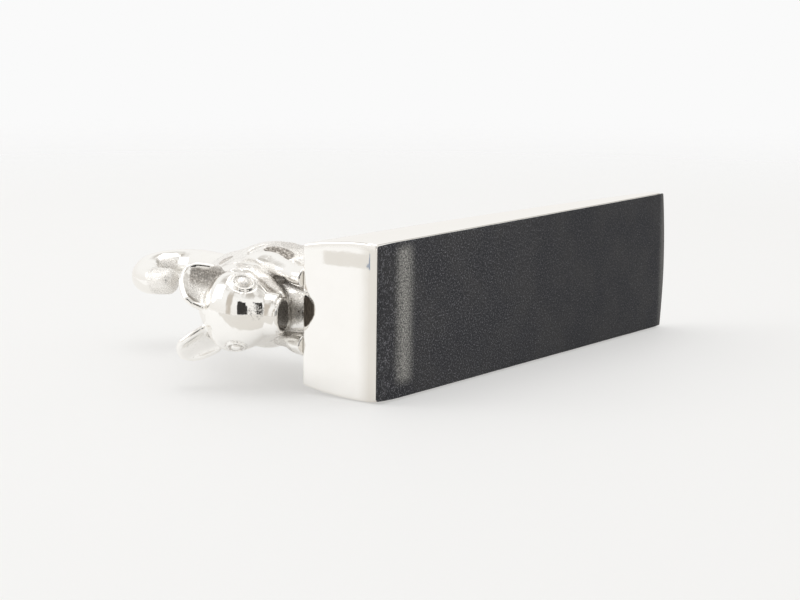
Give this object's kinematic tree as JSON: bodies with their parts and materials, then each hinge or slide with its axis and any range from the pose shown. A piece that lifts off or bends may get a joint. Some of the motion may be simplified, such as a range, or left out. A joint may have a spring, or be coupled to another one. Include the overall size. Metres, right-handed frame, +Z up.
{
  "type": "door wedge with a pig",
  "caption": "Polished nickel-plated cast door wedge with a rubber sole, and a pig that bows its head over the thick end.",
  "frame": {"origin": "middle of the rubber sole's underside, on the floor", "axes": "+Z up from the floor, +Y from the wedge's thick end to its thin end, +X across the wedge"},
  "size_m": [0.041, 0.1684, 0.1073],
  "materials": {
    "polished_nickel": "polished nickel plate on cast metal",
    "black_rubber": "matt, finely speckled",
    "zinc_steel": "zinc plated, hidden"
  },
  "bodies": {
    "root": {"wedge_body": "polished_nickel", "rubber_sole": "black_rubber", "pig_casting": "polished_nickel", "tail_casting": "polished_nickel", "fixing_screw_front": "zinc_steel", "fixing_screw_rear": "zinc_steel"}
  },
  "joints": []
}
